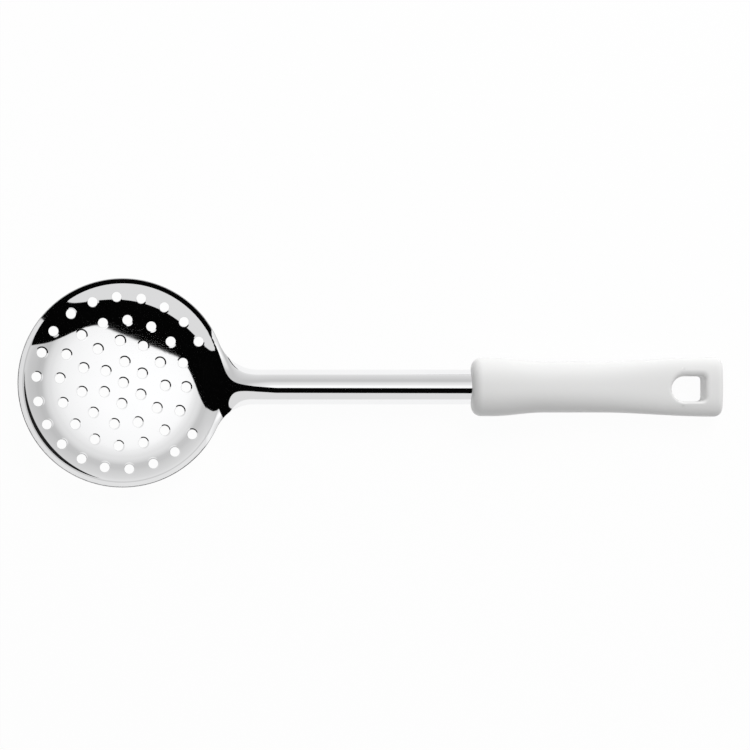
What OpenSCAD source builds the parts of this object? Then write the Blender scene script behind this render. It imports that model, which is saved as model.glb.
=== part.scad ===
// Skimmer: a shallow perforated bowl and its stem, pressed from one steel sheet, and a moulded grip.
// The sheet runs from the bowl's rim through a flared neck into a half-round stem, open underneath.
// Millimetres. +X runs from the bowl to the grip's butt, +Z up, and the table is the plane z = 0.
// The bowl's bottom and the grip's underside rest on the table, with the bowl's far side raised.

/* [Bowl] */
// Width of the bowl across its rim
bowl_diameter = 100; // [90:1:110]
// Radius of the bottom, out to where the wall starts to turn up
bottom_reach = 34; // [31:0.5:36]
// Slope of the sheet where the bottom meets the wall, in degrees
bottom_slope = 6; // [5:0.5:8]
// Slope of the sheet at the wall's end, below the lip, in degrees
wall_slope = 45; // [40:1:50]
// Width of the flat lip round the rim, its bend included
lip_width = 3.1; // [2.6:0.1:3.6]
// Slope of the lip, in degrees
lip_slope = 19; // [12:1:24]
// Radius of the bend between the wall and the lip, on the inner face
lip_bend = 1.8; // [1.4:0.1:2.4]
// Tilt that raises the bowl's far side, in degrees
bowl_tilt = 3.5; // [2:0.5:5]
// Thickness of the steel sheet
sheet = 0.8; // [0.6:0.1:1]

/* [Drain holes] */
// Diameter of each hole
hole_diameter = 4.7; // [3.5:0.1:5.5]
// Step between the rings inside the outer one
ring_step = 10.1; // [9:0.1:10.4]
// Radius of the outer ring
outer_ring = 41.2; // [39:0.1:42]
// Holes in the first ring
first_holes = 6; // [4:1:8]
// Holes in the second ring
second_holes = 11; // [8:1:14]
// Holes in the third ring
third_holes = 16; // [12:1:20]
// Places in the outer ring, those next to the neck included
outer_places = 22; // [16:1:22]
// Turn of the whole pattern about the bowl's axis, in degrees
pattern_turn = -4; // [-6:1:6]

/* [Stem] */
// Width of the half-round stem
stem_width = 16.8; // [14:0.2:17.6]
// Height of the stem's top line
stem_top = 13.8; // [13.4:0.1:14.4]
// Distance from the bowl's centre to the grip's front
stem_reach = 166; // [120:1:220]
// Length of stem inside the grip
stem_in_grip = 45; // [30:1:60]
// Sideways distance of the stem from the bowl's centre
stem_side = -1.95; // [-3:0.05:3]
// Radius of the curve between the rim and the stem, seen from above
neck_radius = 20; // [15:1:24]
// Steepest slope along the neck, in degrees
neck_slope = 38; // [34:1:40]

/* [Grip] */
// Length of the grip
grip_length = 120; // [105:1:140]
// Width just behind the front lip
front_width = 27.8; // [26:0.2:32]
// Width of the waist
waist_width = 24.4; // [22:0.2:26]
// Width at the butt
butt_width = 28.4; // [26:0.2:32]
// Height just behind the front lip
front_height = 19; // [18.5:0.5:22]
// Height at the butt
butt_height = 12; // [10:0.5:14]
// Radius of the rounded front lip
front_lip = 4.6; // [3:0.2:4.8]
// Radius of the butt's corners
butt_corner = 4; // [2:0.5:5]
// Gap all round between the stem and its slot in the grip
stem_clearance = 0.05; // [0.02:0.01:0.2]

/* [Hang hole] */
// Length of the hole, along the grip
hang_length = 14; // [10:0.5:18]
// Width of the hole, across the grip
hang_width = 12; // [9:0.5:14]
// Distance from the hole's square end to the butt
hang_margin = 9.5; // [8:0.5:14]
// Width of the bevel round each mouth
hang_bevel = 2; // [0.5:0.1:2.2]
// Radius of the corners of the square end
hang_corner = 1.6; // [0.5:0.1:3]

/* [Hidden] */
$fn = 96;

bowl_radius = bowl_diameter / 2;
// The rim's top edge lies inside its bottom edge, because the sheet is cut square to its slope
rim_top = bowl_radius - sheet * sin(lip_slope);
wall_reach = bowl_radius - lip_width;
// Inner radii of the two arcs in the bowl's section: the bottom, and the wall that turns up to the lip
bottom_radius = bottom_reach / sin(bottom_slope);
wall_radius = (wall_reach - bottom_reach) / (sin(wall_slope) - sin(bottom_slope));
// Heights above the rim's top edge: the end of the lip's bend, and the wall's end
bend_end = wall_reach + lip_bend * (sin(wall_slope) - sin(lip_slope));
bend_end_z = -(rim_top - bend_end) * tan(lip_slope);
wall_end_z = bend_end_z - lip_bend * (cos(lip_slope) - cos(wall_slope));
bottom_rise = bottom_radius * (1 - cos(bottom_slope));
bowl_depth = bottom_rise + wall_radius * (cos(bottom_slope) - cos(wall_slope)) - wall_end_z;
wall_centre_r = bottom_reach - wall_radius * sin(bottom_slope);
wall_centre_z = wall_end_z + wall_radius * cos(wall_slope);
bend_centre = [wall_reach + lip_bend * sin(wall_slope), wall_end_z - lip_bend * cos(wall_slope)];
bottom_centre_z = bottom_radius - bowl_depth;

// The rim's plane is as high as lets the tilted bottom touch the table
rim_height = bottom_radius + sheet - bottom_centre_z * cos(bowl_tilt);
// The origin is the middle of the overall length
rim_tip = bowl_radius * cos(bowl_tilt) + sheet * cos(lip_slope) * sin(bowl_tilt);
bowl_x = (rim_tip - stem_reach - grip_length) / 2;
grip_x = bowl_x + stem_reach;

stem_radius = stem_width / 2;
stem_centre_z = stem_top - stem_radius;
// Along its middle the neck leaves the wall in one arc, which ends level with the stem's top
rise_start = wall_centre_r + wall_radius * sin(neck_slope);
rise_start_z = wall_centre_z - wall_radius * cos(neck_slope);
rise_radius = (stem_top - rim_height + rise_start * sin(bowl_tilt) - rise_start_z * cos(bowl_tilt))
    / (1 - cos(neck_slope - bowl_tilt));
rise_centre = [rise_start + rise_radius * sin(neck_slope), rise_start_z - rise_radius * cos(neck_slope)];
rise_end = rise_centre[0] - rise_radius * sin(bowl_tilt);
// The neck leaves the bowl just past the outer holes next to it, and is a plain half-round at its end
neck_start = outer_ring - 1.7;
neck_settle = 16.5;
neck_open = 22.5;
left_y = neck_radius + stem_radius + stem_side;
right_y = neck_radius + stem_radius - stem_side;
left_x = sqrt(pow(rim_top + neck_radius, 2) - left_y * left_y);
right_x = sqrt(pow(rim_top + neck_radius, 2) - right_y * right_y);
neck_end = max(left_x + 1, right_x + 1, rise_end);
stem_x = bowl_x + neck_end * cos(bowl_tilt);

bottom_steps = 6;
wall_steps = 14;
bend_steps = 4;
// The faceted neck stays this far inside the sheet where it runs into the bowl and the stem
seam_inset = 0.03;
neck_rows = 20;
neck_columns = 36;

grip_columns = 56;
grip_rows = 34;
lip_rows = 7;

function smooth(t) = let (k = max(0, min(1, t))) k * k * (3 - 2 * k);

// The neck's sheet, as a surface of the distance u from the bowl's centre and the place v across it.

// Height of the wall at radius r
function walled(r) = wall_centre_z - sqrt(wall_radius * wall_radius - pow(r - wall_centre_r, 2));

// Height of the wall, and of the arc that goes on from it to the stem, at radius r
function risen(r) =
    r <= rise_start ? walled(r)
    : r <= rise_end ? rise_centre[1] + sqrt(rise_radius * rise_radius - pow(rise_centre[0] - r, 2))
    : rise_centre[1] + rise_radius * cos(bowl_tilt) + (r - rise_end) * tan(bowl_tilt);

// Height of the lip and its bend at radius r
function lipped(r) =
    r <= wall_reach ? walled(r)
    : r <= bend_end ? bend_centre[1] + sqrt(lip_bend * lip_bend - pow(bend_centre[0] - r, 2))
    : (r - rim_top) * tan(lip_slope);

// Height of the sheet as the bowl's shape goes on into the neck, where the lip fades out
function bowl_face(u, y) =
    let (r = norm([u, y]), share = smooth((abs(atan2(y, u)) - 8) / 18))
    share * lipped(r) + (1 - share) * risen(r);

// Half-width of the sheet on one side: the rim's circle, the neck's curve, then the stem's side
function edge(u, cx, cy, side) =
    u <= cx * rim_top / (rim_top + neck_radius) ? sqrt(rim_top * rim_top - u * u)
    : u < cx ? cy - sqrt(neck_radius * neck_radius - pow(cx - u, 2))
    : side;

function left_edge(u) = edge(u, left_x, left_y, stem_radius + stem_side);

function right_edge(u) = edge(u, right_x, right_y, stem_radius - stem_side);

// Half-angle of the arch that the sheet makes across the neck
function arch(u) = 0.5 + 89.3 * smooth((u - neck_start - 1.5) / (neck_open - 1.5));

function settled(u) = smooth((u - neck_start) / neck_settle);

function neck_point(u, v) =
    let (
        a = arch(u),
        middle = (left_edge(u) - right_edge(u)) / 2,
        half = (left_edge(u) + right_edge(u)) / 2 - seam_inset,
        y = middle + half * sin(a * v) / sin(a),
        w = bowl_face(u, y),
        s = settled(u),
        x = bowl_x + u * cos(bowl_tilt) + (1 - s) * w * sin(bowl_tilt),
        in_bowl = rim_height - u * sin(bowl_tilt) + w * cos(bowl_tilt),
        ridge = rim_height - u * sin(bowl_tilt) + risen(u) * cos(bowl_tilt),
        in_stem = ridge - half / sin(a) * (1 - cos(a * v))
    )
    [x, y, (1 - s) * in_bowl + s * in_stem];

function neck_normal(u, v) =
    let (
        e = 0.002,
        along = neck_point(u + e, v) - neck_point(u - e, v),
        across = neck_point(u, min(1, v + e)) - neck_point(u, max(-1, v - e)),
        n = cross(along, across)
    )
    n / norm(n);

module stem_section(gap = 0) {
    difference() {
        circle(r = stem_radius + gap);
        circle(r = stem_radius - sheet - gap);
        translate([-stem_radius - 2, -2 * stem_radius - gap])
            square([2 * stem_radius + 4, 2 * stem_radius]);
    }
}

module stem_length(from_x, to_x, gap = 0) {
    translate([from_x, stem_side, stem_centre_z])
        rotate([90, 0, 90])
            linear_extrude(height = to_x - from_x)
                stem_section(gap);
}

// One face of the bowl's section from its middle to its rim, moved out by part of the sheet:
// the bottom's arc, the wall's arc, the bend, then the lip's edge
function section_face(out) = concat(
    [
        for (i = [0:bottom_steps])
            let (slope = bottom_slope * i / bottom_steps)
                [0, bottom_centre_z] + (bottom_radius + out) * [sin(slope), -cos(slope)]
    ],
    [
        for (i = [1:wall_steps])
            let (slope = bottom_slope + (wall_slope - bottom_slope) * i / wall_steps)
                [wall_centre_r, wall_centre_z] + (wall_radius + out) * [sin(slope), -cos(slope)]
    ],
    [
        for (i = [1:bend_steps])
            let (slope = wall_slope + (lip_slope - wall_slope) * i / bend_steps)
                bend_centre + (lip_bend - out) * [-sin(slope), cos(slope)]
    ],
    [[rim_top, 0] + out * [sin(lip_slope), -cos(lip_slope)]]
);

module bowl_section() {
    under = section_face(sheet);
    polygon(concat(section_face(0), [for (i = [len(under) - 1:-1:0]) under[i]]));
}

module hole_ring(radius, places, from_place, to_place, first_angle = 0) {
    for (k = [from_place:to_place])
        rotate([0, 0, first_angle + k * 360 / places])
            translate([radius, 0, -bowl_depth - 5])
                cylinder(h = bowl_depth + 10, d = hole_diameter);
}

module drain_holes() {
    rotate([0, 0, pattern_turn]) {
        translate([0, 0, -bowl_depth - 5])
            cylinder(h = 10, d = hole_diameter);
        hole_ring(ring_step, first_holes, 0, first_holes - 1, 30);
        hole_ring(2 * ring_step, second_holes, 0, second_holes - 1);
        hole_ring(3 * ring_step, third_holes, 0, third_holes - 1);
        // The three places next to the neck have no hole
        hole_ring(outer_ring, outer_places, 2, outer_places - 2);
    }
}

module bowl() {
    translate([bowl_x, 0, rim_height])
        rotate([0, bowl_tilt, 0])
            difference() {
                rotate_extrude()
                    bowl_section();
                translate([neck_start, -bowl_radius, -bowl_depth - 5])
                    cube([bowl_radius, 2 * bowl_radius, bowl_depth + 10]);
                drain_holes();
            }
}

// The neck is one closed shell: a top grid, the same grid moved down by the sheet, and four edges
module neck() {
    rows = neck_rows;
    columns = neck_columns;
    first = neck_start - 1.4;
    last = neck_end + 0.8;
    size = (rows + 1) * (columns + 1);
    grid = [
        for (i = [0:rows])
            for (j = [0:columns])
                let (t = 2 * j / columns - 1)
                    // Closer together at the sides, where the lip runs into the neck
                    [first + (last - first) * i / rows, t * (1.35 - 0.35 * t * t)]
    ];
    top = [for (g = grid) neck_point(g[0], g[1]) - seam_inset * neck_normal(g[0], g[1])];
    under = [for (g = grid) neck_point(g[0], g[1]) - (sheet - seam_inset) * neck_normal(g[0], g[1])];
    function at(i, j) = i * (columns + 1) + j;
    faces = [
        for (i = [0:rows - 1])
            for (j = [0:columns - 1])
                for (f = [
                    [at(i, j), at(i, j + 1), at(i + 1, j + 1)],
                    [at(i, j), at(i + 1, j + 1), at(i + 1, j)],
                    [size + at(i, j), size + at(i + 1, j + 1), size + at(i, j + 1)],
                    [size + at(i, j), size + at(i + 1, j), size + at(i + 1, j + 1)]
                ])
                    f,
        for (i = [0:rows - 1])
            for (f = [
                [at(i, 0), at(i + 1, 0), size + at(i + 1, 0)],
                [at(i, 0), size + at(i + 1, 0), size + at(i, 0)],
                [at(i + 1, columns), at(i, columns), size + at(i, columns)],
                [at(i + 1, columns), size + at(i, columns), size + at(i + 1, columns)]
            ])
                f,
        for (j = [0:columns - 1])
            for (f = [
                [at(0, j + 1), at(0, j), size + at(0, j)],
                [at(0, j + 1), size + at(0, j), size + at(0, j + 1)],
                [at(rows, j), at(rows, j + 1), size + at(rows, j + 1)],
                [at(rows, j), size + at(rows, j + 1), size + at(rows, j)]
            ])
                f
    ];
    polyhedron(points = concat(top, under), faces = faces, convexity = 6);
}

// Stem end: inside the grip, against the end of its slot
stem_end_x = grip_x + stem_in_grip;

module bowl_and_stem() {
    color([0.78, 0.79, 0.81]) {
        bowl();
        neck();
        stem_length(stem_x, stem_end_x);
    }
}

// The grip as rows of rounded sections along its length

function grip_width(x) =
    waist_width
    + (front_width - waist_width) * (1 - smooth((x - 10) / 24))
    + (butt_width - waist_width) * smooth((x - grip_length + 59) / 54);

function grip_height(x) = front_height + (butt_height - front_height) * smooth((x - 6) / (grip_length - 22));

// How square the section is: nearly an oval at the front, flatter on top at the butt
function squareness(x) = 2.5 + 1 * smooth((x - 50) / (grip_length - 60));

function round_inset(x, radius) = x >= radius ? 0 : radius - sqrt(radius * radius - pow(radius - x, 2));

function power(c, p) = sign(c) * pow(abs(c), p);

function grip_row(x) =
    let (
        front = round_inset(x, front_lip),
        corner = round_inset(grip_length - x, butt_corner),
        top_edge = round_inset(grip_length - x, 0.75 * butt_corner),
        half_y = grip_width(x) / 2 - front - corner,
        half_z = grip_height(x) / 2 - front - top_edge,
        p = 2 / squareness(x)
    )
    [
        for (j = [0:grip_columns - 1])
            let (a = 360 * j / grip_columns)
                [
                    grip_x + x,
                    stem_side + half_y * power(cos(a), p),
                    grip_height(x) / 2 + half_z * power(sin(a), p)
                ]
    ];

module grip_body() {
    stations = [
        for (i = [0:lip_rows - 1]) front_lip * (1 - cos(90 * i / lip_rows)),
        for (i = [0:grip_rows]) front_lip + (grip_length - front_lip - butt_corner) * i / grip_rows,
        for (i = [1:lip_rows]) grip_length - butt_corner * (1 - sin(90 * i / lip_rows))
    ];
    n = len(stations);
    m = grip_columns;
    points = [for (x = stations) each grip_row(x)];
    faces = [
        for (i = [0:n - 2])
            for (j = [0:m - 1])
                for (f = [
                    [i * m + j, (i + 1) * m + j, (i + 1) * m + (j + 1) % m],
                    [i * m + j, (i + 1) * m + (j + 1) % m, i * m + (j + 1) % m]
                ])
                    f,
        [for (j = [0:m - 1]) j],
        [for (j = [m - 1:-1:0]) (n - 1) * m + j]
    ];
    polyhedron(points = points, faces = faces, convexity = 4);
}

// The hang hole's outline: round towards the bowl, square with rounded corners towards the butt
module hang_outline() {
    r = hang_width / 2;
    translate([r, 0])
        circle(r = r);
    translate([r, -r])
        square([hang_length - r - hang_corner, hang_width]);
    translate([hang_length - hang_corner - 1, hang_corner - r])
        square([hang_corner + 1, hang_width - 2 * hang_corner]);
    for (s = [-1, 1])
        translate([hang_length - hang_corner, s * (r - hang_corner)])
            circle(r = hang_corner);
}

module mouth_bevel(z, up) {
    middle = hang_length / 2;
    translate([middle, 0, z])
        mirror([0, 0, up ? 0 : 1])
            translate([0, 0, -hang_bevel])
                linear_extrude(height = 2 * hang_bevel, scale = 1 + 4 * hang_bevel / hang_length)
                    translate([-middle, 0])
                        hang_outline();
}

module hang_hole() {
    translate([grip_x + grip_length - hang_margin - hang_length, stem_side, 0]) {
        translate([0, 0, -2])
            linear_extrude(height = front_height + 4)
                hang_outline();
        mouth_bevel(butt_height, true);
        mouth_bevel(0, false);
    }
}

module handle() {
    color([0.93, 0.93, 0.92])
        difference() {
            grip_body();
            stem_length(grip_x - 1, stem_end_x, stem_clearance);
            hang_hole();
        }
}

bowl_and_stem();
handle();
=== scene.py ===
"""A kitchen skimmer: one pressed, polished steel sheet and a moulded white grip.

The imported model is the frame. The steel sheet is made as the real one is: a flat blank
is punched and its edges are rounded, and then it is pressed to the bowl, neck and stem.
"""

import logging
from dataclasses import dataclass
from enum import Enum
from math import atan2, cos, degrees, hypot, pi, radians, sin, sqrt, tan
from typing import Iterable

import bmesh
import bpy
from bmesh.types import BMEdge, BMesh, BMFace, BMVert
from mathutils import Matrix, Vector

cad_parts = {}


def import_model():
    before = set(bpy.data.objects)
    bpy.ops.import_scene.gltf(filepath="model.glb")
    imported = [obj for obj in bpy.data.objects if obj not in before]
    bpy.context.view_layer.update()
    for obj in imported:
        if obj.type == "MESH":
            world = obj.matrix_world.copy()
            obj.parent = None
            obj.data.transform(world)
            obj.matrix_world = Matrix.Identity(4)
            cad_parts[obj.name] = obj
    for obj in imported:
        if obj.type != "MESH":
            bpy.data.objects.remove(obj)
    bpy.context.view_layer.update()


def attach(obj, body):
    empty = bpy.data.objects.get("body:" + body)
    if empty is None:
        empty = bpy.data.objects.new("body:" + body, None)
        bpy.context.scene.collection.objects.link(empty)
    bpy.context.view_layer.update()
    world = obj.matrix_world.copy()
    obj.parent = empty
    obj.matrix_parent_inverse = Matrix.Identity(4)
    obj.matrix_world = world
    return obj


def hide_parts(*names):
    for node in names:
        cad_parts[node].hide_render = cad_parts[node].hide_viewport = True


MM = 0.001
LOG = logging.getLogger("skimmer")
Socket = bpy.types.NodeSocket
Triple = tuple[float, float, float]


class Slot(Enum):
    """The record's material slots."""

    STEEL = "steel"
    GRIP = "grip"


def smooth(t: float) -> float:
    """Soft step from 0 to 1 as t goes from 0 to 1."""
    k = max(0.0, min(1.0, t))
    return k * k * (3 - 2 * k)


def edges_of(faces: Iterable[BMFace]) -> list[BMEdge]:
    """Every edge of the faces, once."""
    return list({edge for face in faces for edge in face.edges})


def extruded(bm: BMesh, edges: list[BMEdge]) -> tuple[list[BMVert], list[BMEdge]]:
    """Extrudes open edges and gives the new points and the new open edges."""
    made = bmesh.ops.extrude_edge_only(bm, edges=edges)["geom"]
    verts = [item for item in made if isinstance(item, BMVert)]
    return verts, [item for item in made if isinstance(item, BMEdge) and all(v in verts for v in item.verts)]


def linked(name: str, bm: BMesh) -> bpy.types.Object:
    """Puts the finished shape into the scene as an object and frees it."""
    mesh = bpy.data.meshes.new(name)
    bm.to_mesh(mesh)
    bm.free()
    piece = bpy.data.objects.new(name, mesh)
    bpy.context.scene.collection.objects.link(piece)
    return piece


@dataclass
class MaterialMaker:
    """Short ways to add and join the nodes of one material.

    Args:
        name: Name of the material.
    """

    name: str

    def __post_init__(self) -> None:
        """Makes the material with an empty node tree."""
        self.material = bpy.data.materials.new(self.name)
        self.material.use_nodes = True
        self.tree = self.material.node_tree
        self.tree.nodes.clear()
        self.output = self.add("ShaderNodeOutputMaterial")

    @classmethod
    def for_world(cls, world: bpy.types.World) -> "MaterialMaker":
        """The same helper for a world's nodes."""
        maker = cls.__new__(cls)
        maker.name, maker.material, maker.tree = world.name, None, world.node_tree
        maker.tree.nodes.clear()
        maker.output = maker.add("ShaderNodeOutputWorld")
        return maker

    def add(self, kind: str, **settings: object) -> bpy.types.Node:
        """Adds a node.

        Args:
            kind: Blender's name for the node.
            settings: Values of its properties.

        Returns:
            The new node.
        """
        node = self.tree.nodes.new(kind)
        for key, value in settings.items():
            setattr(node, key, value)
        return node

    def join(self, start: Socket, end: Socket) -> None:
        """Links one socket to another."""
        self.tree.links.new(start, end)

    def place(self, scale: Triple) -> Socket:
        """Object coordinates, scaled.

        Args:
            scale: Scale on each axis.

        Returns:
            The vector socket.
        """
        coords = self.add("ShaderNodeTexCoord")
        mapping = self.add("ShaderNodeMapping")
        mapping.inputs["Scale"].default_value = scale
        self.join(coords.outputs["Object"], mapping.inputs["Vector"])
        return mapping.outputs["Vector"]

    def noise(self, where: Socket, scale: float, detail: float, rough: float = 0.5) -> Socket:
        """Noise of about 0 to 1.

        Args:
            where: The vector that the noise is read at.
            scale: Scale of the noise.
            detail: Octaves.
            rough: Strength of the finer octaves.

        Returns:
            The factor socket.
        """
        node = self.add("ShaderNodeTexNoise")
        node.inputs["Scale"].default_value = scale
        node.inputs["Detail"].default_value = detail
        node.inputs["Roughness"].default_value = rough
        self.join(where, node.inputs["Vector"])
        return node.outputs["Fac"]

    def ranged(self, value: Socket, low: float, high: float, span: tuple[float, float] = (0.3, 0.7)) -> Socket:
        """Maps a value to a range.

        Args:
            value: The value to map.
            low: Result at the span's start.
            high: Result at the span's end.
            span: Part of the value's range that is used.

        Returns:
            The result's socket.
        """
        node = self.add("ShaderNodeMapRange")
        for key, number in zip(("From Min", "From Max", "To Min", "To Max"), (*span, low, high)):
            node.inputs[key].default_value = number
        self.join(value, node.inputs["Value"])
        return node.outputs["Result"]

    def tinted_by(self, fac: Socket, first: Socket, second: Socket) -> Socket:
        """Mixes two colours that come from sockets."""
        node = self.add("ShaderNodeMix", data_type="RGBA")
        self.join(fac, node.inputs["Factor"])
        self.join(first, node.inputs[6])
        self.join(second, node.inputs[7])
        return node.outputs[2]

    def tinted(self, fac: Socket, first: Triple, second: Triple) -> Socket:
        """Mixes two colours.

        Args:
            fac: Share of the second colour.
            first: Colour at 0.
            second: Colour at 1.

        Returns:
            The colour socket.
        """
        node = self.add("ShaderNodeMix", data_type="RGBA")
        node.inputs[6].default_value = (*first, 1)
        node.inputs[7].default_value = (*second, 1)
        self.join(fac, node.inputs["Factor"])
        return node.outputs[2]

    def tinted_to(self, fac: Socket, first: Socket, second: Triple) -> Socket:
        """Mixes a colour that comes from a socket with a fixed one."""
        node = self.add("ShaderNodeMix", data_type="RGBA")
        node.inputs[7].default_value = (*second, 1)
        self.join(fac, node.inputs["Factor"])
        self.join(first, node.inputs[6])
        return node.outputs[2]

    def bump(self, height: Socket, distance: float, strength: float) -> Socket:
        """Turns a height into a normal.

        Args:
            height: Height from 0 to 1.
            distance: What a height of 1 stands for, in metres.
            strength: Strength of the effect.

        Returns:
            The normal's socket.
        """
        node = self.add("ShaderNodeBump")
        node.inputs["Distance"].default_value = distance
        node.inputs["Strength"].default_value = strength
        self.join(height, node.inputs["Height"])
        return node.outputs["Normal"]


@dataclass(frozen=True)
class PolishedSteel:
    """Mirror-polished stainless steel sheet with a faint unevenness of its polish."""

    bright: Triple = (0.93, 0.93, 0.935)
    dim: Triple = (0.89, 0.893, 0.90)
    cut: Triple = (0.30, 0.30, 0.305)
    smoothest: float = 0.02
    roughest: float = 0.045
    cut_rough: float = 0.3
    wave_height: float = 0.00002
    wave_strength: float = 0.35

    def make(self) -> bpy.types.Material:
        """Makes the material."""
        maker = MaterialMaker("polished_steel")
        shader = maker.add("ShaderNodeBsdfPrincipled")
        shader.inputs["Metallic"].default_value = 1.0
        haze = maker.noise(maker.place((60, 60, 60)), 1.0, 3)
        edge = maker.add("ShaderNodeAttribute", attribute_name="cut_edge").outputs["Fac"]
        polished = maker.tinted(haze, self.bright, self.dim)
        maker.join(maker.tinted_to(edge, polished, self.cut), shader.inputs["Base Color"])
        streaks = maker.noise(maker.place((40, 2600, 900)), 1.0, 2)
        rough = maker.add("ShaderNodeMath", operation="MULTIPLY_ADD")
        maker.join(edge, rough.inputs[0])
        rough.inputs[1].default_value = self.cut_rough
        maker.join(maker.ranged(streaks, self.smoothest, self.roughest), rough.inputs[2])
        maker.join(rough.outputs[0], shader.inputs["Roughness"])
        waves = maker.noise(maker.place((55, 55, 55)), 1.0, 1)
        maker.join(maker.bump(waves, self.wave_height, self.wave_strength), shader.inputs["Normal"])
        maker.join(shader.outputs["BSDF"], maker.output.inputs["Surface"])
        return maker.material


@dataclass(frozen=True)
class WhiteMoulding:
    """Satin white moulded plastic with a fine mould grain."""

    pale: Triple = (0.86, 0.86, 0.855)
    shaded: Triple = (0.83, 0.83, 0.828)
    gloss_rough: float = 0.34
    grain_rough: float = 0.46
    grain_height: float = 0.00003
    grain_strength: float = 0.25

    def make(self) -> bpy.types.Material:
        """Makes the material."""
        maker = MaterialMaker("white_moulding")
        shader = maker.add("ShaderNodeBsdfPrincipled")
        shader.inputs["IOR"].default_value = 1.49
        shader.inputs["Specular IOR Level"].default_value = 0.45
        flow = maker.noise(maker.place((25, 70, 70)), 1.0, 3)
        maker.join(maker.tinted(flow, self.pale, self.shaded), shader.inputs["Base Color"])
        grain = maker.noise(maker.place((1, 1, 1)), 2600, 2)
        maker.join(maker.ranged(grain, self.gloss_rough, self.grain_rough), shader.inputs["Roughness"])
        maker.join(maker.bump(grain, self.grain_height, self.grain_strength), shader.inputs["Normal"])
        maker.join(shader.outputs["BSDF"], maker.output.inputs["Surface"])
        return maker.material


@dataclass(frozen=True)
class Surface:
    """A place on the pressed sheet's top face, in millimetres, and the directions there."""

    point: Vector
    along: Vector
    across: Vector
    normal: Vector


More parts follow.
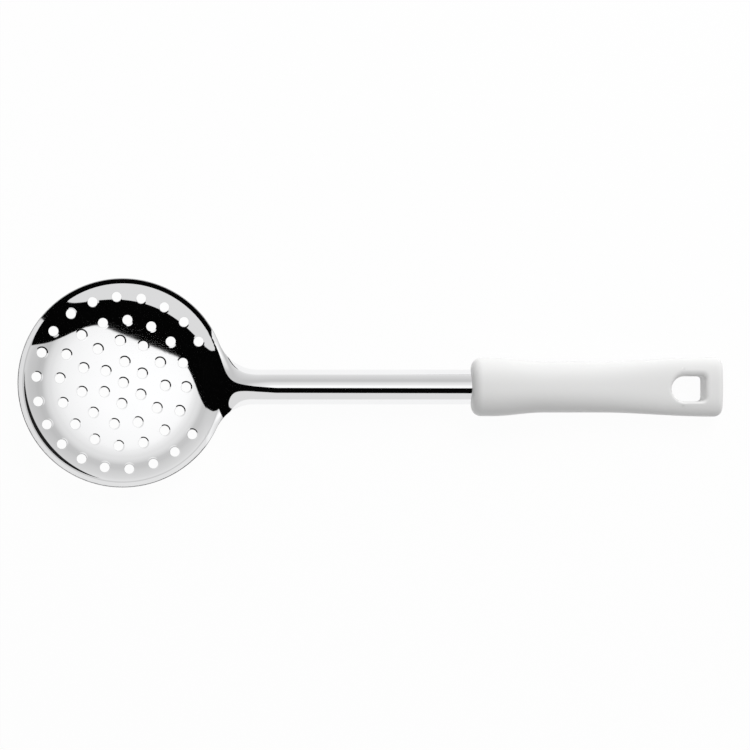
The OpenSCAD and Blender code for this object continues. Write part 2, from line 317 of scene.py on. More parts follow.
@dataclass
class SteelSheet:
    """The perforated bowl, its flared neck and the half-round stem, as one sheet.

    The sizes are those of the part's source, in millimetres.
    """

    bowl_diameter: float = 100.0
    bottom_reach: float = 34.0
    bottom_slope: float = radians(6.0)
    wall_reach: float = 46.9
    wall_slope: float = radians(45.0)
    lip_slope: float = radians(19.0)
    lip_bend: float = 1.8
    bowl_tilt: float = radians(3.5)
    sheet: float = 0.8
    hole_diameter: float = 4.7
    ring_step: float = 10.1
    outer_ring: float = 41.2
    ring_places: tuple[int, int, int, int] = (6, 11, 16, 22)
    first_angle: float = radians(30.0)
    pattern_turn: float = radians(-4.0)
    stem_radius: float = 8.4
    stem_top: float = 13.8
    stem_reach: float = 166.0
    stem_in_grip: float = 45.0
    stem_side: float = -1.95
    neck_radius: float = 20.0
    neck_slope: float = radians(38.0)
    grip_length: float = 120.0
    corner_at: float = 34.6
    corner_half: float = 5.0
    lip_turn: float = radians(12.0)
    roll_width: float = 0.75
    roll_slope: float = radians(10.0)
    roll_side: float = radians(38.0)
    mouth_round: float = 0.06
    edge_round: float = 0.3
    ring_half: float = 4.7
    outer_half: float = 4.9
    middle_reach: float = 4.8
    neck_settle: float = 16.5
    neck_open: float = 22.5
    neck_gap: float = 0.45
    side_steps: int = 10
    neck_rows: int = 64
    neck_columns: int = 48
    stem_rows: int = 14

    def __post_init__(self) -> None:
        """Works out the sizes that follow from the others, as the source does."""
        self.rim_top = self.bowl_diameter / 2 - self.sheet * sin(self.lip_slope)
        self.bottom_radius = self.bottom_reach / sin(self.bottom_slope)
        self.wall_radius = (self.wall_reach - self.bottom_reach) / (sin(self.wall_slope) - sin(self.bottom_slope))
        self.bend_end = self.wall_reach + self.lip_bend * (sin(self.wall_slope) - sin(self.lip_slope))
        self.bend_end_z = -(self.rim_top - self.bend_end) * tan(self.lip_slope)
        self.wall_end_z = self.bend_end_z - self.lip_bend * (cos(self.lip_slope) - cos(self.wall_slope))
        self.wall_centre_r = self.bottom_reach - self.wall_radius * sin(self.bottom_slope)
        self.wall_centre_z = self.wall_end_z + self.wall_radius * cos(self.wall_slope)
        self.bowl_depth = self.bottom_radius * (1 - cos(self.bottom_slope)) + (
            self.wall_radius * (cos(self.bottom_slope) - cos(self.wall_slope)) - self.wall_end_z
        )
        self.bottom_centre_z = self.bottom_radius - self.bowl_depth
        self.rim_height = self.bottom_radius + self.sheet - self.bottom_centre_z * cos(self.bowl_tilt)
        rim_tip = self.bowl_diameter / 2 * cos(self.bowl_tilt) + self.sheet * cos(self.lip_slope) * sin(self.bowl_tilt)
        self.bowl_x = (rim_tip - self.stem_reach - self.grip_length) / 2
        self.grip_x = self.bowl_x + self.stem_reach
        self.neck_start = self.outer_ring - 1.7
        self.left_y = self.neck_radius + self.stem_radius + self.stem_side
        self.right_y = self.neck_radius + self.stem_radius - self.stem_side
        self.left_x = sqrt((self.rim_top + self.neck_radius) ** 2 - self.left_y**2)
        self.right_x = sqrt((self.rim_top + self.neck_radius) ** 2 - self.right_y**2)
        self.section = self.slopes()
        self.heights = [-self.bowl_depth]
        for (r0, s0), (r1, s1) in zip(self.section, self.section[1:]):
            self.heights.append(self.heights[-1] + self.climb(r0, s0, r1, s1, r1))
        last = next(i for i, (_, slope) in enumerate(self.section) if slope > sin(self.neck_slope))
        (r0, s0), (r1, s1) = self.section[last - 1], self.section[last]
        self.rise_start = r0 + (r1 - r0) * (sin(self.neck_slope) - s0) / (s1 - s0)
        rise_start_z = self.height(self.rise_start)
        self.rise_radius = (
            self.stem_top - self.rim_height + self.rise_start * sin(self.bowl_tilt) - rise_start_z * cos(self.bowl_tilt)
        ) / (1 - cos(self.neck_slope - self.bowl_tilt))
        self.rise_centre_r = self.rise_start + self.rise_radius * sin(self.neck_slope)
        self.rise_centre_z = rise_start_z - self.rise_radius * cos(self.neck_slope)
        self.rise_end = self.rise_centre_r - self.rise_radius * sin(self.bowl_tilt)
        self.neck_end = max(self.left_x + 1, self.right_x + 1, self.rise_end)
        self.stem_end = (self.grip_x + self.stem_in_grip - self.bowl_x) / cos(self.bowl_tilt)
        self.hole_centres: list[Vector] = []

    def bowl_face(self, u: float, y: float) -> float:
        """Height of the bowl's inner face above the rim's plane, with the lip faded out towards the neck.

        Args:
            u: Distance from the bowl's centre towards the grip.
            y: Distance across.

        Returns:
            The height, in millimetres.
        """
        r = hypot(u, y)
        share = smooth((degrees(abs(atan2(y, u))) - 8) / 18)
        return share * self.height(r) + (1 - share) * self.risen(r)

    def slopes(self) -> list[tuple[float, float]]:
        """Radii along the bowl's section with the sine of the slope there, which changes evenly between them."""
        bottom = sin(self.bottom_slope) / self.bottom_reach
        steep = sin(self.wall_slope)
        wall = (steep - bottom * self.corner_at) / (self.wall_reach - self.corner_at)
        start, width = self.corner_at - self.corner_half, 2 * self.corner_half
        nodes = [(0.0, 0.0)]
        for i in range(9):
            r = start + width * i / 8
            nodes.append((r, bottom * r + (wall - bottom) * (r - start) ** 2 / (2 * width)))
        turned = sin(self.lip_turn)
        return nodes + [(self.wall_reach, steep), (self.bend_end, turned), (self.rim_top + 5, turned)]

    @staticmethod
    def climb(r0: float, s0: float, r1: float, s1: float, r: float) -> float:
        """How much the section climbs from r0 to r, between two of its radii with the sines of their slopes."""
        if abs(s1 - s0) < 1e-9:
            return (r - r0) * s0 / sqrt(1 - s0 * s0)
        rate = (s1 - s0) / (r1 - r0)
        now = s0 + rate * (r - r0)
        return (sqrt(1 - s0 * s0) - sqrt(1 - now * now)) / rate

    def height(self, r: float) -> float:
        """Height of the bowl's inner face above the rim's plane at the radius r."""
        for (r0, s0), (r1, s1), start in zip(self.section, self.section[1:], self.heights):
            if r <= r1:
                return start + self.climb(r0, s0, r1, s1, r)
        return self.heights[-1]

    def risen(self, r: float) -> float:
        """Height of the bottom and the wall, then of the arc that goes on from the wall to the stem."""
        if r <= self.rise_start:
            return self.height(r)
        if r <= self.rise_end:
            return self.rise_centre_z + sqrt(self.rise_radius**2 - (self.rise_centre_r - r) ** 2)
        level = self.rise_centre_z + self.rise_radius * cos(self.bowl_tilt)
        return level + (r - self.rise_end) * tan(self.bowl_tilt)

    def edge(self, u: float, cx: float, cy: float, side: float) -> float:
        """Half-width of the sheet on one side: the rim's circle, the neck's curve, then the stem's side."""
        if u <= cx * self.rim_top / (self.rim_top + self.neck_radius):
            return sqrt(self.rim_top**2 - u * u)
        if u < cx:
            return cy - sqrt(self.neck_radius**2 - (cx - u) ** 2)
        return side

    def sides(self, u: float) -> tuple[float, float]:
        """Middle and half-width of the sheet at the distance u from the bowl's centre."""
        left = self.edge(u, self.left_x, self.left_y, self.stem_radius + self.stem_side)
        right = self.edge(u, self.right_x, self.right_y, self.stem_radius - self.stem_side)
        return (left - right) / 2, (left + right) / 2

    def arch(self, u: float) -> float:
        """Half of the angle over which the sheet is bent round at the distance u, in degrees."""
        return 0.5 + 89.3 * smooth((u - self.neck_start - 1.5) / (self.neck_open - 1.5))

    def pressed(self, u: float, q: float) -> Vector:
        """Where the blank's point (u, q) is after the pressing, on the top face."""
        if u <= self.neck_start:
            y = q
            settled = 0.0
            drop = 0.0
        else:
            middle, half = self.sides(u)
            arch = radians(self.arch(u))
            turn = arch * (q - middle) / half
            y = middle + half * sin(turn) / sin(arch)
            settled = smooth((u - self.neck_start) / self.neck_settle)
            drop = half / sin(arch) * (1 - cos(turn))
        w = self.bowl_face(u, y)
        ct, st = cos(self.bowl_tilt), sin(self.bowl_tilt)
        x = self.bowl_x + u * ct + (1 - settled) * w * st
        z = self.rim_height - u * st + ((1 - settled) * w + settled * self.risen(u)) * ct - settled * drop
        return Vector((x, y, z))

    def surface(self, u: float, q: float) -> Surface:
        """The pressed top face at the blank's point (u, q).

        Args:
            u: Distance from the bowl's centre towards the grip.
            q: Distance across.

        Returns:
            The point, the two directions in which the blank's axes go, and the normal.
        """
        step = 0.01
        point = self.pressed(u, q)
        along = (self.pressed(u + step, q) - self.pressed(u - step, q)) / (2 * step)
        across = (self.pressed(u, q + step) - self.pressed(u, q - step)) / (2 * step)
        return Surface(point, along, across, along.cross(across).normalized())

    def mouth_rings(self) -> list[float]:
        """Radii of the rings of points round a hole, from its wall to the end of the roll at its mouth."""
        start = self.hole_diameter / 2
        return [start] + [start + self.roll_width * part for part in (0.64, 0.82, 1.0)]

    def rolled(self, away: float) -> tuple[float, float]:
        """Depth and slope of the shallow roll that the punch leaves, at a distance from a hole's centre."""
        rings = self.mouth_rings()
        steep = tan(self.roll_slope)
        if away >= rings[-1]:
            return 0.0, 0.0
        fade = rings[-1] - rings[1]
        if away >= rings[1]:
            part = (rings[-1] - away) / fade
            return steep * fade * part * part / 2, steep * part
        return steep * (fade / 2 + rings[1] - away), steep

    def punched_cell(self, bm: BMesh, radius: float, half: float, places: int) -> list[BMFace]:
        """One sector of the blank with a hole in its middle.

        Args:
            bm: The blank.
            radius: Distance of the hole from the bowl's centre.
            half: Half of the sector's length along the radius.
            places: Sectors in the whole ring.

        Returns:
            The new faces.
        """
        count = 4 * self.side_steps
        rings = [
            bmesh.ops.create_circle(bm, segments=count, radius=r, matrix=Matrix.Translation((radius, 0, 0)))["verts"]
            for r in (*self.mouth_rings(), half)
        ]
        outline = rings[-1]
        for vert in outline:
            side = Vector((vert.co.x - radius, vert.co.y)) / half
            side /= max(abs(side.x), abs(side.y))
            r = radius + half * side.x
            vert.co = (r * cos(side.y * pi / places), r * sin(side.y * pi / places), 0)
        for inner, outer in zip(rings, rings[1:]):
            loops = {edge for ring in (inner, outer) for i in range(count) for edge in ring[i].link_edges}
            loops = [e for e in loops if {v in inner for v in e.verts} != {True, False}]
            made = bmesh.ops.bridge_loops(bm, edges=loops)
        bmesh.ops.subdivide_edges(bm, edges=made["edges"], cuts=4, use_grid_fill=True)
        return [f for f in bm.faces if abs(f.calc_center_median().to_2d().length - radius) < half]

    def ring_of_holes(self, bm: BMesh, radius: float, half: float, places: int, first: float, count: int) -> None:
        """A ring of sectors that each have a hole.

        Args:
            bm: The blank.
            radius: Radius of the ring of holes.
            half: Half of the ring's width.
            places: Sectors in a whole ring.
            first: Angle of the first hole.
            count: Sectors that are made.
        """
        faces = self.punched_cell(bm, radius, half, places)
        verts = list({vert for face in faces for vert in face.verts})
        bmesh.ops.rotate(bm, verts=verts, cent=(0, 0, 0), matrix=Matrix.Rotation(first, 3, "Z"))
        bmesh.ops.spin(
            bm,
            geom=verts + edges_of(faces) + faces,
            cent=(0, 0, 0),
            axis=(0, 0, 1),
            angle=(count - 1) * 2 * pi / places,
            steps=count - 1,
            use_duplicate=True,
        )
        self.hole_centres += [
            Vector((radius * cos(a), radius * sin(a))) for a in (first + k * 2 * pi / places for k in range(count))
        ]

    def spun_chain(self, bm: BMesh, radii: list[float], first: float, angle: float, steps: int) -> None:
        """Plain sheet made by turning a chain of points round the bowl's centre.

        Args:
            bm: The blank.
            radii: Distances of the points from the centre.
            first: Angle at which the chain starts.
            angle: Angle through which it turns.
            steps: Steps of the turn.
        """
        verts = [bm.verts.new((r * cos(first), r * sin(first), 0)) for r in radii]
        edges = [bm.edges.new(pair) for pair in zip(verts, verts[1:])]
        whole = abs(angle - 2 * pi) < 1e-6
        bmesh.ops.spin(
            bm,
            geom=verts + edges,
            cent=(0, 0, 0),
            axis=(0, 0, 1),
            angle=angle,
            steps=steps,
            use_merge=whole,
        )

    def join_rings(self, bm: BMesh, inner: float, outer: float) -> None:
        """Bridges the open edges that lie on two circles."""

        def on(edge: BMEdge, r: float) -> bool:
            """Whether the open edge lies on the circle of radius r."""
            return edge.is_boundary and all(abs(hypot(v.co.x, v.co.y) - r) < 1e-3 for v in edge.verts)

        bmesh.ops.bridge_loops(bm, edges=[e for e in bm.edges if on(e, inner) or on(e, outer)])

    def bowl_blank(self, bm: BMesh) -> None:
        """The round part of the blank with its holes, up to where the neck starts."""
        half, outer_half = self.ring_half, self.outer_half
        turn = self.pattern_turn
        count = 4 * self.side_steps
        rings = self.mouth_rings()
        self.spun_chain(bm, [*rings, rings[-1] + 0.6, rings[-1] + 1.2, self.middle_reach], turn, 2 * pi, count)
        self.hole_centres = [Vector((0, 0))]
        firsts = (self.first_angle, 0.0, 0.0)
        for number, (places, first) in enumerate(zip(self.ring_places, firsts), 1):
            self.ring_of_holes(bm, number * self.ring_step, half, places, turn + first, places)
        places = self.ring_places[3]
        step = 2 * pi / places
        self.ring_of_holes(bm, self.outer_ring, outer_half, places, turn + 2 * step, places - 3)
        tangents = [tan(radians(-45 + 90 * i / self.side_steps)) for i in range(self.side_steps + 1)]
        radii = [self.outer_ring + outer_half * t for t in tangents]
        self.spun_chain(bm, radii, turn - 1.5 * step, 3 * step, 3 * self.side_steps)
        rim_start = self.outer_ring + outer_half + self.neck_gap
        rim_radii = [rim_start + (self.rim_top - rim_start) * i / 14 for i in range(15)]
        self.spun_chain(bm, rim_radii, turn, 2 * pi, places * self.side_steps)
        bmesh.ops.remove_doubles(bm, verts=bm.verts, dist=1e-3)
        edges = [self.middle_reach]
        for number in (1, 2, 3):
            edges += [number * self.ring_step - half, number * self.ring_step + half]
        edges += [self.outer_ring - outer_half, self.outer_ring + outer_half, rim_start]
        for inner, outer in zip(edges[0::2], edges[1::2]):
            self.join_rings(bm, inner, outer)

    def neck_blank(self, bm: BMesh) -> None:
        """The neck's and the stem's part of the blank, joined to the bowl's part."""
        cut = bmesh.ops.bisect_plane(
            bm,
            geom=bm.verts[:] + bm.edges[:] + bm.faces[:],
            dist=1e-4,
            plane_co=(self.neck_start - self.neck_gap, 0, 0),
            plane_no=(1, 0, 0),
            clear_outer=True,
        )
        cut_edges = [item for item in cut["geom_cut"] if isinstance(item, BMEdge)]
        grid = bmesh.ops.create_grid(bm, x_segments=self.neck_rows, y_segments=self.neck_columns, size=1)["verts"]
        for vert in grid:
            u = self.neck_start + (self.neck_end - self.neck_start) * (vert.co.x + 1) / 2
            middle, half = self.sides(u)
            vert.co = (u, middle + half * vert.co.y, 0)

        def at(u: float) -> list[BMEdge]:
            """The neck's open edges at the distance u."""
            return [
                e
                for e in {e for v in grid if v.is_valid for e in v.link_edges}
                if all(abs(v.co.x - u) < 1e-4 for v in e.verts)
            ]

        bmesh.ops.bridge_loops(bm, edges=cut_edges + at(self.neck_start))
        last = at(self.neck_end)
        step = (self.stem_end - self.neck_end) / self.stem_rows
        for _ in range(self.stem_rows):
            verts, last = extruded(bm, last)
            bmesh.ops.translate(bm, verts=verts, vec=(step, 0, 0))

    def rounded(self, bm: BMesh) -> None:
        """Gives the blank its thickness and rounds its edges and the mouths of its holes."""
        bmesh.ops.recalc_face_normals(bm, faces=bm.faces)
        if sum(face.normal.z * face.calc_area() for face in bm.faces) < 0:
            bmesh.ops.reverse_faces(bm, faces=bm.faces)
        bmesh.ops.solidify(bm, geom=bm.faces[:], thickness=self.sheet)
        top = max(vert.co.z for vert in bm.verts)
        bmesh.ops.translate(bm, verts=bm.verts, vec=(0, 0, -top))
        bm.normal_update()
        sharp = [e for e in bm.edges if len(e.link_faces) == 2 and e.calc_face_angle() > 1]
        reach = self.hole_diameter / 2 + 0.02

        def at_hole(edge: BMEdge) -> bool:
            """Whether the edge is at the mouth of a hole."""
            spot = edge.verts[0].co.to_2d()
            return any((spot - centre).length < reach for centre in self.hole_centres)

        mouths = [e for e in sharp if at_hole(e)]
        outline = [e for e in sharp if e not in set(mouths)]
        LOG.info("edges to round: %d at the holes' mouths, %d others", len(mouths), len(outline))
        for edges, offset, segments in ((outline, self.edge_round, 3), (mouths, self.mouth_round, 1)):
            bmesh.ops.bevel(
                bm,
                geom=[e for e in edges if e.is_valid],
                offset=offset,
                offset_type="OFFSET",
                segments=segments,
                profile=0.5,
                affect="EDGES",
                clamp_overlap=False,
                material=-1,
            )

    def build(self) -> bpy.types.Object:
        """Makes the blank, presses it and returns the finished sheet."""
        bm = bmesh.new()
        self.bowl_blank(bm)
        self.neck_blank(bm)
        self.rounded(bm)
        bm.normal_update()
        normals: list[Vector] = []
        places: list[Vector] = []
        cut: list[float] = []
        reach = self.mouth_rings()[-1]
        for vert in bm.verts:
            depth = vert.co.z
            flat = vert.normal
            cut.append(smooth((0.97 - abs(flat.z)) / 0.35))
            if abs(depth) < 1e-4:
                flat = Vector((0, 0, 1))
            elif abs(depth + self.sheet) < 1e-4:
                flat = Vector((0, 0, -1))
            flat_place = vert.co.to_2d()
            for centre in self.hole_centres:
                inward = centre - flat_place
                if inward.length < reach:
                    leaning = smooth(0.6 - 0.6 * cos(atan2(inward.y, inward.x) - self.roll_side))
                    drop, slope = (leaning * part for part in self.rolled(inward.length))
                    depth -= drop * (1 + depth / self.sheet)
                    if vert.co.z > -1e-4:
                        flat = Vector((*(inward.normalized() * slope), 1)).normalized()
                    break
            spot = self.surface(vert.co.x, vert.co.y)
            frame = Matrix((spot.along, spot.across, spot.normal)).transposed()
            normals.append((frame.inverted().transposed() @ flat).normalized())
            places.append((spot.point + depth * spot.normal) * MM)
        for vert, place in zip(bm.verts, places):
            vert.co = place
        piece = linked("steel_sheet", bm)
        mesh = piece.data
        mesh.shade_smooth()
        mesh.normals_split_custom_set_from_vertices(normals)
        layer = mesh.attributes.new("cut_edge", "FLOAT", "POINT")
        layer.data.foreach_set("value", cut)
        return piece

    def dress(self, piece: bpy.types.Object) -> None:
        """Gives the sheet its finish and its place in the frame."""
        piece.data.materials.append(PolishedSteel().make())
        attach(piece, "root")
        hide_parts("bowl_and_stem")


@dataclass
class Grip:
    """The moulded grip with its hang hole, in the source's millimetres."""

    length: float = 120.0
    front_width: float = 27.8
    waist_width: float = 24.4
    butt_width: float = 28.4
    front_height: float = 19.0
    butt_height: float = 12.0
    front_lip: float = 4.6
    butt_corner: float = 4.0
    start_x: float = 47.9
    side: float = -1.95
    hang_length: float = 15.8
    hang_width: float = 12.0
    hang_margin: float = 8.8
    hang_lean: tuple[float, float] = (-0.2, -0.9)
    hang_bevel: float = 2.0
    hang_corner: float = 1.6
    columns: int = 96
    mouth_steps: int = 6

    def width(self, x: float) -> float:
        """Width of the grip at x from its front, before the ends are rounded."""
        return (
            self.waist_width
            + (self.front_width - self.waist_width) * (1 - smooth((x - 10) / 24))
            + (self.butt_width - self.waist_width) * smooth((x - self.length + 59) / 54)
        )

    def height(self, x: float) -> float:
        """Height of the grip at x from its front, before the ends are rounded."""
        return self.front_height + (self.butt_height - self.front_height) * smooth((x - 6) / (self.length - 22))

    def squareness(self, x: float) -> float:
        """How square the section is."""
        return 2.4 + 0.6 * smooth((x - 50) / (self.length - 60))

    @staticmethod
    def inset(x: float, radius: float) -> float:
        """How far a rounded end pulls the surface in at the distance x from the end."""
        return 0.0 if x >= radius else radius - sqrt(max(0.0, radius**2 - (radius - x) ** 2))

    def halves(self, x: float) -> tuple[float, float]:
        """Half of the section's width and height at x."""
        front = self.inset(x, self.front_lip)
        corner = self.inset(self.length - x, self.butt_corner)
        top_edge = self.inset(self.length - x, 0.75 * self.butt_corner)
        return self.width(x) / 2 - front - corner, self.height(x) / 2 - front - top_edge

    def section_point(self, x: float, turn: float) -> Vector:
        """The surface at x, in the direction turn round the section."""
        half_y, half_z = self.halves(x)
        power = 2 / self.squareness(x)
        c, s = cos(turn), sin(turn)
        return Vector(
            (
                self.start_x + x,
                self.side + half_y * (abs(c) ** power if c > 0 else -(abs(c) ** power)),
                self.height(x) / 2 + half_z * (abs(s) ** power if s > 0 else -(abs(s) ** power)),
            )
        )

    def face_height(self, x: float, y: float, top: bool) -> float:
        """Height of the grip's top or underside at x from its front and y from its middle."""
        half_y, half_z = self.halves(x)
        n = self.squareness(x)
        rise = half_z * max(0.0, 1 - min(1.0, abs(y) / half_y) ** n) ** (1 / n)
        return self.height(x) / 2 + (rise if top else -rise)

    def stations(self) -> list[float]:
        """Distances of the sections from the front."""
        lip = [self.front_lip * (1 - cos(pi / 2 * i / 12)) for i in range(12)]
        start, end = self.front_lip, self.length - self.butt_corner
        body = [start + (end - start) * i / 100 for i in range(101)]
        corner = [self.length - self.butt_corner * (1 - sin(pi / 2 * i / 12)) for i in range(1, 13)]
        return lip + body + corner

    def hang_point(self, turn: float, grow: float) -> tuple[float, float]:
        """The hang hole's outline in the direction turn from its middle, grown outwards.

        Args:
            turn: Direction from the hole's middle.
            grow: How far the outline is moved out.

        Returns:
            The distance from the grip's front and the distance from its middle line.
        """
        r = self.hang_width / 2
        start = self.length - self.hang_margin - self.hang_length
        middle = start + self.hang_length / 2
        c, s = cos(turn), sin(turn)
        low, high = 0.0, 20.0
        for _ in range(40):
            reach = (low + high) / 2
            x, y = self.hang_length / 2 + reach * c, reach * s
            if x < r:
                out = hypot(x - r, y) - r
            else:
                edge_x, edge_y = self.hang_length - self.hang_corner, r - self.hang_corner
                dx, dy = x - edge_x, abs(y) - edge_y
                out = (hypot(dx, dy) if dx > 0 and dy > 0 else max(dx, dy)) - self.hang_corner
            low, high = (reach, high) if out < grow else (low, reach)
        return middle + low * c, low * s

    def open_mouth(self, bm: BMesh, top: bool) -> None:
        """Opens the grip's top or underside round the hang hole and rounds the mouth.

        Args:
            bm: The grip.
            top: Whether the top is opened.
        """
        middle_x = self.length - self.hang_margin - self.hang_length / 2
        reach_x, reach_y = self.hang_length / 2 + self.hang_bevel + 1.2, self.hang_width / 2 + self.hang_bevel + 1.0
        faces = []
        for face in bm.faces:
            centre = face.calc_center_median()
            x, y = centre.x - self.start_x, centre.y - self.side
            if abs(x - middle_x) < reach_x and abs(y) < reach_y and (centre.z > self.butt_height / 2) == top:
                faces.append(face)
        kept = {v for f in faces for v in f.verts}
        bmesh.ops.delete(bm, geom=faces, context="FACES")
        kept = {v for v in kept if v.is_valid}
        rim = [e for e in bm.edges if e.is_boundary and all(v in kept for v in e.verts)]
        loop = bmesh.ops.create_circle(bm, segments=len(rim), radius=1)["verts"]
        turns = {vert: atan2(vert.co.y, vert.co.x) for vert in loop}
        for vert, turn in turns.items():
            x, y = self.hang_point(turn, self.hang_bevel)
            vert.co = (self.start_x + x, self.side + y, self.face_height(x, y, top))
        mouth = list({e for v in loop for e in v.link_edges})
        spokes = bmesh.ops.bridge_loops(bm, edges=rim + mouth)["edges"]
        last = mouth
        for number in range(1, self.mouth_steps + 1):
            verts, last = extruded(bm, last)
            angle = pi / 2 * number / self.mouth_steps
            for vert in verts:
                spot = vert.co
                turn = self.turn_at(spot)
                x, y = self.hang_point(turn, self.hang_bevel * (1 - sin(angle)))
                drop = self.hang_bevel * (1 - cos(angle))
                outer_x, outer_y = self.hang_point(turn, self.hang_bevel)
                z = self.face_height(outer_x, outer_y, top)
                lean_x, lean_y = (part * sin(angle) for part in self.hang_lean)
                vert.co = (self.start_x + x + lean_x, self.side + y + lean_y, z - drop if top else z + drop)
        grid = bmesh.ops.subdivide_edges(bm, edges=spokes, cuts=3, use_grid_fill=True)
        for item in grid["geom_inner"]:
            if isinstance(item, BMVert):
                item.co.z = self.face_height(item.co.x - self.start_x, item.co.y - self.side, top)

    def turn_at(self, spot: Vector) -> float:
        """Direction of a point from the hang hole's middle."""
        middle_x = self.start_x + self.length - self.hang_margin - self.hang_length / 2
        return atan2(spot.y - self.side, spot.x - middle_x)

    def build(self) -> bpy.types.Object:
        """Makes the grip."""
        bm = bmesh.new()
        ring = bmesh.ops.create_circle(bm, segments=self.columns, radius=1)["verts"]
        turns = [atan2(v.co.y, v.co.x) for v in ring]
        stations = self.stations()
        for vert, turn in zip(ring, turns):
            vert.co = self.section_point(stations[0], turn)
        first = list({e for v in ring for e in v.link_edges})
        last = first
        layer = dict(zip(ring, turns))
        for x in stations[1:]:
            verts, last = extruded(bm, last)
            fresh: dict[BMVert, float] = {}
            for vert in verts:
                source = next(e.other_vert(vert) for e in vert.link_edges if e.other_vert(vert) in layer)
                fresh[vert] = layer[source]
            for vert, turn in fresh.items():
                vert.co = self.section_point(x, turn)
            layer = fresh
        bmesh.ops.contextual_create(bm, geom=first)
        bmesh.ops.contextual_create(bm, geom=last)
        bmesh.ops.recalc_face_normals(bm, faces=bm.faces)
        self.open_mouth(bm, True)
        self.open_mouth(bm, False)
        bmesh.ops.bridge_loops(bm, edges=[e for e in bm.edges if e.is_boundary])
        bmesh.ops.recalc_face_normals(bm, faces=bm.faces)
        bmesh.ops.scale(bm, vec=(MM, MM, MM), verts=bm.verts)
        piece = linked("moulded_grip", bm)
        piece.data.shade_smooth()
        return piece

    def dress(self, piece: bpy.types.Object) -> None:
        """Gives the grip its finish and its place in the frame."""
        piece.data.materials.append(WhiteMoulding().make())
        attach(piece, "root")
        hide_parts("handle")


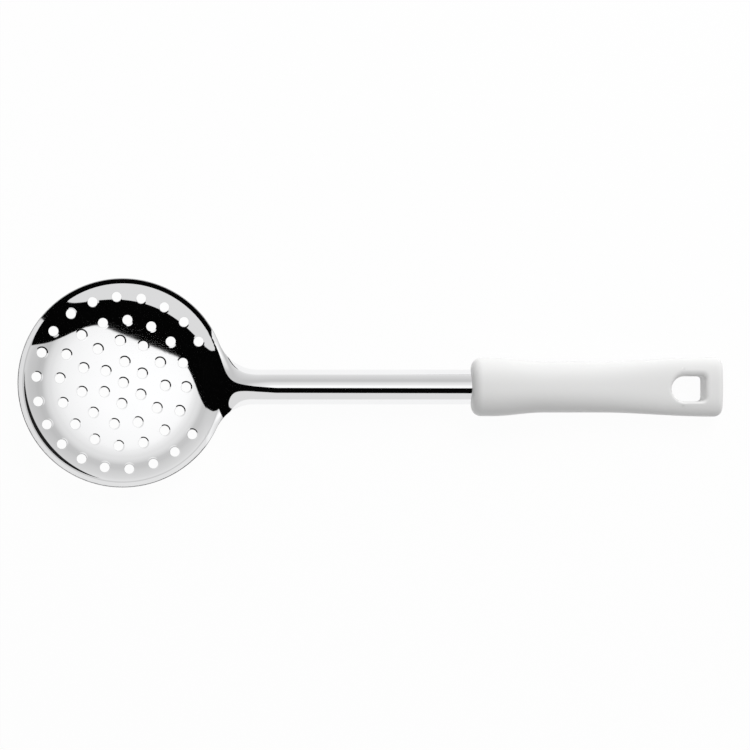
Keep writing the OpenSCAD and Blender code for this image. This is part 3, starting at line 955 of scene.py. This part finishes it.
@dataclass
class Studio:
    """White floor, one soft lamp, the surroundings that the polished steel mirrors, and the camera."""

    camera_foot: tuple[float, float] = (-0.055, 0.0)
    camera_height: float = 0.87
    centre: tuple[float, float] = (0.0027, 0.0038)
    view_width: float = 0.3613
    dark_axis: Triple = (-0.342, -0.940, 0.0)
    dark_side: Triple = (-0.378, -0.922, -0.0876)
    low_axis: Triple = (-0.529, -0.407, 0.9925)
    floor_share: float = 0.96
    plain_strength: float = 0.55
    mirrored_strength: float = 1.1

    def floor(self) -> None:
        """A large pale floor that is white to the eye and keeps the object's shadow."""
        bm = bmesh.new()
        bmesh.ops.create_grid(bm, x_segments=1, y_segments=1, size=3)
        floor = linked("floor", bm)
        maker = MaterialMaker("floor_white")
        diffuse = maker.add("ShaderNodeBsdfDiffuse")
        diffuse.inputs["Color"].default_value = (0.9, 0.9, 0.9, 1)
        glow = maker.add("ShaderNodeEmission")
        glow.inputs["Color"].default_value = (1, 1, 1, 1)
        seen = self.seen(maker)
        share = maker.add("ShaderNodeMath", operation="MULTIPLY")
        share.inputs[1].default_value = self.floor_share
        maker.join(seen, share.inputs[0])
        mix = maker.add("ShaderNodeMixShader")
        maker.join(share.outputs[0], mix.inputs["Fac"])
        maker.join(diffuse.outputs["BSDF"], mix.inputs[1])
        maker.join(glow.outputs["Emission"], mix.inputs[2])
        maker.join(mix.outputs["Shader"], maker.output.inputs["Surface"])
        floor.data.materials.append(maker.material)

    @staticmethod
    def seen(maker: "MaterialMaker") -> Socket:
        """1 for rays from the camera, from a mirror or through glass, otherwise 0."""
        path = maker.add("ShaderNodeLightPath")
        first = maker.add("ShaderNodeMath", operation="MAXIMUM")
        second = maker.add("ShaderNodeMath", operation="MAXIMUM")
        maker.join(path.outputs["Is Camera Ray"], first.inputs[0])
        maker.join(path.outputs["Is Glossy Ray"], first.inputs[1])
        maker.join(first.outputs[0], second.inputs[0])
        maker.join(path.outputs["Is Transmission Ray"], second.inputs[1])
        return second.outputs[0]

    def world(self) -> None:
        """White surroundings for the eye and the mirror, and plain light for the rest."""
        world = bpy.data.worlds.new("studio")
        bpy.context.scene.world = world
        world.use_nodes = True
        maker = MaterialMaker.for_world(world)
        path = maker.add("ShaderNodeLightPath")
        plain = maker.add("ShaderNodeBackground")
        plain.inputs["Strength"].default_value = self.plain_strength
        white = maker.add("ShaderNodeBackground")
        mirrored = maker.add("ShaderNodeBackground")
        mirrored.inputs["Strength"].default_value = self.mirrored_strength
        maker.join(self.mirrored_shade(maker), mirrored.inputs["Color"])
        seen = maker.add("ShaderNodeMixShader")
        maker.join(path.outputs["Is Camera Ray"], seen.inputs["Fac"])
        maker.join(plain.outputs["Background"], seen.inputs[1])
        maker.join(white.outputs["Background"], seen.inputs[2])
        gloss = maker.add("ShaderNodeMixShader")
        maker.join(path.outputs["Is Glossy Ray"], gloss.inputs["Fac"])
        maker.join(seen.outputs["Shader"], gloss.inputs[1])
        maker.join(mirrored.outputs["Background"], gloss.inputs[2])
        maker.join(gloss.outputs["Shader"], maker.output.inputs["Surface"])

    @staticmethod
    def facing(maker: "MaterialMaker", where: Socket, way: Triple) -> Socket:
        """How far a direction goes along another."""
        node = maker.add("ShaderNodeVectorMath", operation="DOT_PRODUCT")
        maker.join(where, node.inputs[0])
        node.inputs[1].default_value = way
        return node.outputs["Value"]

    def mirrored_shade(self, maker: "MaterialMaker") -> Socket:
        """What the polished steel mirrors: bright surroundings that are black towards one side.

        Args:
            maker: The world's node maker.

        Returns:
            The colour socket.
        """
        coords = maker.add("ShaderNodeTexCoord").outputs["Generated"]
        up = self.facing(maker, coords, (0, 0, 1))
        ramp = maker.add("ShaderNodeValToRGB")
        stops = (
            (0.0, 0.77), (0.05, 0.756), (0.24, 0.675), (0.42, 0.634), (0.56, 0.60), (0.69, 0.548), (0.80, 0.555),
            (0.866, 0.668), (0.914, 0.741), (0.945, 0.756), (0.976, 0.844), (0.986, 0.926), (1.0, 1.0),
        )
        while len(ramp.color_ramp.elements) < len(stops):
            ramp.color_ramp.elements.new(0.5)
        for element, (place, shade) in zip(ramp.color_ramp.elements, stops):
            element.position = place
            element.color = (shade, shade, shade, 1)
        maker.join(up, ramp.inputs["Fac"])
        to_left = maker.ranged(self.facing(maker, coords, (1, 0, 0)), 0, 0.16, (0.3, 0.95))
        sky = maker.tinted_to(to_left, ramp.outputs["Color"], (0, 0, 0))
        beyond = maker.ranged(self.facing(maker, coords, self.dark_axis), 0, 1, (0.585, 0.595))
        side = self.facing(maker, coords, self.dark_side)
        dark = maker.tinted(beyond, (0.001, 0.001, 0.001), (0.7, 0.7, 0.7))
        lit = maker.tinted_by(maker.ranged(side, 0, 1, (-0.001, 0.003)), sky, dark)
        low = maker.ranged(self.facing(maker, coords, self.low_axis), 1, 0, (-0.461, -0.443))
        return maker.tinted_to(low, lit, (0.012, 0.012, 0.012))

    def lamp(self, name: str, place: Triple, size: float, power: float) -> None:
        """A soft square lamp that points at the object and isn't seen in the mirror.

        Args:
            name: Name of the lamp.
            place: Where it is, in metres.
            size: Width of the square, in metres.
            power: Its power, in watts.
        """
        data = bpy.data.lights.new(name, "AREA")
        data.size = size
        data.energy = power
        lamp = bpy.data.objects.new(name, data)
        lamp.location = place
        lamp.rotation_euler = (Vector((0.02, 0, 0)) - Vector(place)).to_track_quat("-Z", "Y").to_euler()
        lamp.visible_glossy = False
        bpy.context.scene.collection.objects.link(lamp)

    def camera(self) -> None:
        """The camera straight above, a little towards the bowl, shifted to the photograph's framing."""
        data = bpy.data.cameras.new("camera")
        data.sensor_width = 36
        data.lens = 36 * self.camera_height / self.view_width
        data.shift_x = (self.centre[0] - self.camera_foot[0]) / self.view_width
        data.shift_y = (self.centre[1] - self.camera_foot[1]) / self.view_width
        data.clip_end = 20
        camera = bpy.data.objects.new("camera", data)
        camera.location = (*self.camera_foot, self.camera_height)
        bpy.context.scene.collection.objects.link(camera)
        bpy.context.scene.camera = camera

    def build(self) -> None:
        """Sets up the whole studio."""
        bpy.context.scene.view_settings.view_transform = "Standard"
        self.world()
        self.floor()
        self.lamp("key", (0.42, 0.88, 0.72), 0.8, 10.2)
        self.camera()


def main() -> None:
    """Builds the skimmer in its studio."""
    logging.basicConfig(level=logging.INFO, format="%(name)s: %(message)s")
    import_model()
    sheet = SteelSheet()
    steel = sheet.build()
    sheet.dress(steel)
    LOG.info("steel sheet: %d faces", len(steel.data.polygons))
    grip = Grip(start_x=sheet.grip_x)
    moulding = grip.build()
    grip.dress(moulding)
    LOG.info("moulded grip: %d faces", len(moulding.data.polygons))
    Studio().build()


if __name__ == "__main__":
    main()
